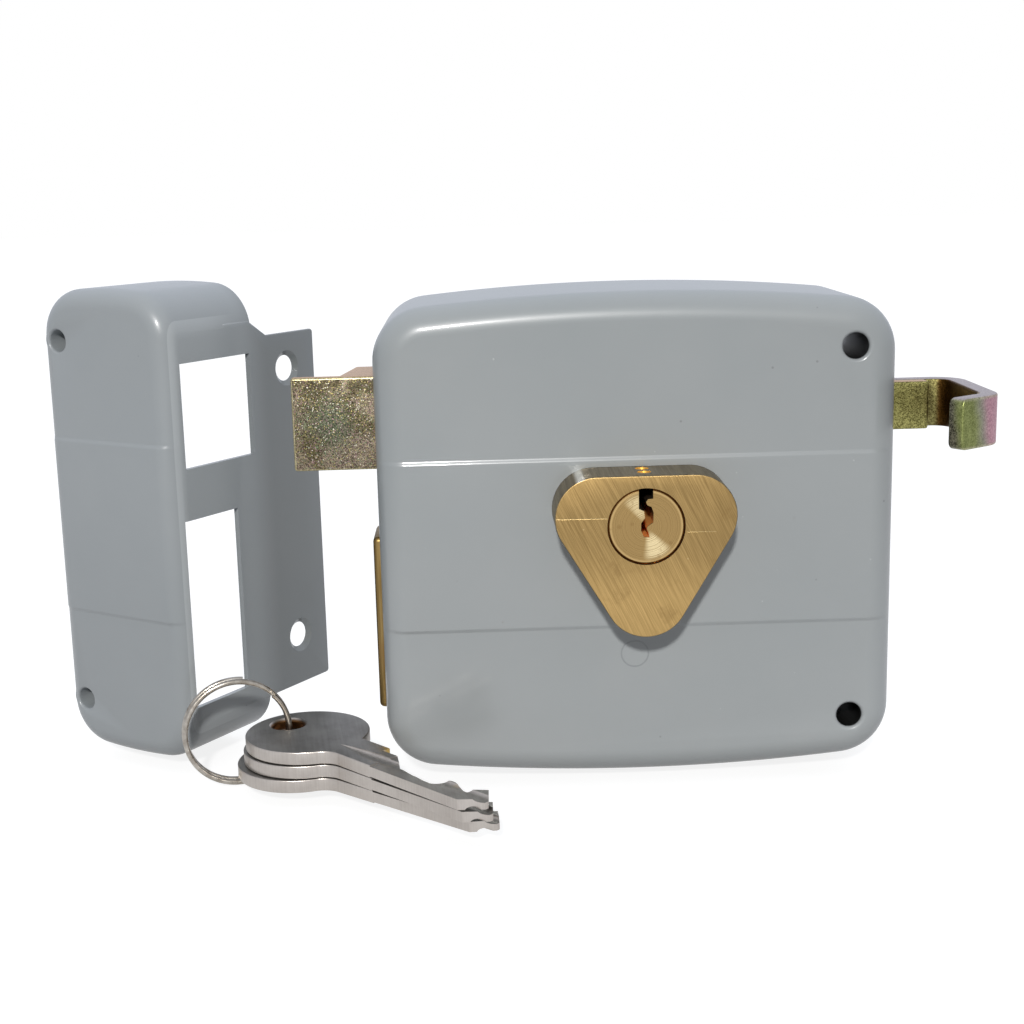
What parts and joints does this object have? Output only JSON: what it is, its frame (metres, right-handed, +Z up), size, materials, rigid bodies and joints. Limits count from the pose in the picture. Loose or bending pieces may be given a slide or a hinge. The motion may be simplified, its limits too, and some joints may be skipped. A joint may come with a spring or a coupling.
{
  "type": "rim night latch",
  "caption": "Surface-mounted night latch: bowed steel case with key cylinder, sprung latch with pull hook and keyed deadbolt, plus its strike box and keys on a split ring.",
  "frame": {"origin": "centre of the lock case's door face, on the outside of the back plate", "axes": "+Y out of the door face into the door, -Y the way the case's front looks, -X the side the bolts leave by, +Z up"},
  "size_m": [0.202, 0.0906, 0.1089],
  "materials": {
    "grey_paint": "glossy grey enamel over pressed steel",
    "brass": "machined and brushed brass",
    "passivated_steel": "yellow zinc passivation with a rainbow bloom",
    "nickel_plate": "brushed nickel plate on brass",
    "pressed_steel": "zinc-plated pressed steel",
    "spring_steel": "oiled spring steel",
    "ring_wire": "nickel-plated spring wire",
    "bright_steel": "bright zinc plate"
  },
  "bodies": {
    "lock_case": {"case_shell": "grey_paint", "back_plate": "pressed_steel", "back_plate_screw_1": "bright_steel", "back_plate_screw_2": "bright_steel", "back_plate_screw_3": "bright_steel", "back_plate_screw_4": "bright_steel", "cylinder_body": "brass", "cylinder_clip": "pressed_steel", "clip_screw_1": "bright_steel", "clip_screw_2": "bright_steel", "driver_pin_1": "bright_steel", "driver_pin_2": "bright_steel", "driver_pin_3": "bright_steel", "driver_pin_4": "bright_steel", "driver_pin_5": "bright_steel", "pin_spring_1": "spring_steel", "pin_spring_2": "spring_steel", "pin_spring_3": "spring_steel", "pin_spring_4": "spring_steel", "pin_spring_5": "spring_steel", "chamber_plug_1": "brass", "chamber_plug_2": "brass", "chamber_plug_3": "brass", "chamber_plug_4": "brass", "chamber_plug_5": "brass", "tail_post_1": "bright_steel", "tail_post_2": "bright_steel", "bolt_friction_spring": "spring_steel", "latch_spring": "spring_steel", "spring_stop": "pressed_steel"},
    "plug": {"cylinder_plug": "brass", "key_pin_1": "brass", "key_pin_2": "brass", "key_pin_3": "brass", "key_pin_4": "brass", "key_pin_5": "brass", "plug_circlip": "spring_steel", "bolt_cam": "pressed_steel", "cam_screw": "bright_steel"},
    "deadbolt": {"deadbolt_head": "brass", "deadbolt_tail": "pressed_steel", "deadbolt_rivet_1": "bright_steel", "deadbolt_rivet_2": "bright_steel"},
    "latch": {"latch_head": "passivated_steel", "latch_pin": "bright_steel", "draw_bar": "passivated_steel", "pull_hook": "passivated_steel", "hook_rivet_1": "bright_steel", "hook_rivet_2": "bright_steel"},
    "strike": {"strike_box": "grey_paint"},
    "key_ring": {"split_ring": "ring_wire"},
    "key_body_1": {"key_1": "nickel_plate"},
    "key_body_2": {"key_2": "nickel_plate"},
    "key_body_3": {"key_3": "nickel_plate"}
  },
  "joints": [
    {"name": "plug_turn", "type": "hinge", "parent": "lock_case", "child": "plug", "pos_m": [0.0005, -0.0494, 0.0056], "axis": [0, 1, 0], "range_deg": [0, 100]},
    {"name": "deadbolt_throw", "type": "slide", "parent": "lock_case", "child": "deadbolt", "axis": [-1, 0, 0], "range_m": [0, 0.01225]},
    {"name": "latch_slide", "type": "slide", "parent": "lock_case", "child": "latch", "axis": [1, 0, 0], "range_m": [0, 0.015], "stiffness_N_per_m": 300, "springref_m": -0.01, "deforming": ["latch_spring"]},
    {"name": "strike_set_down", "type": "slide", "parent": "lock_case", "child": "strike", "axis": [-1, 0, 0], "range_m": [0, 0.03]},
    {"name": "ring_lift_off", "type": "slide", "parent": "lock_case", "child": "key_ring", "axis": [0, -1, 0], "range_m": [0, 0.02]},
    {"name": "key_swing_1", "type": "hinge", "parent": "key_ring", "child": "key_body_1", "pos_m": [-0.0774, -0.0263, -0.0435], "axis": [0, 0, 1], "range_deg": [-45, 4]},
    {"name": "key_swing_2", "type": "hinge", "parent": "key_ring", "child": "key_body_2", "pos_m": [-0.07812, -0.02649, -0.0466], "axis": [0, 0, 1], "range_deg": [-45, 4]},
    {"name": "key_swing_3", "type": "hinge", "parent": "key_ring", "child": "key_body_3", "pos_m": [-0.0799, -0.02697, -0.0497], "axis": [0, 0, 1], "range_deg": [-45, 4]}
  ],
  "couplings": [
    {"joint": "plug_turn", "follows": "deadbolt_throw", "rad_per_m": 142.4}
  ]
}
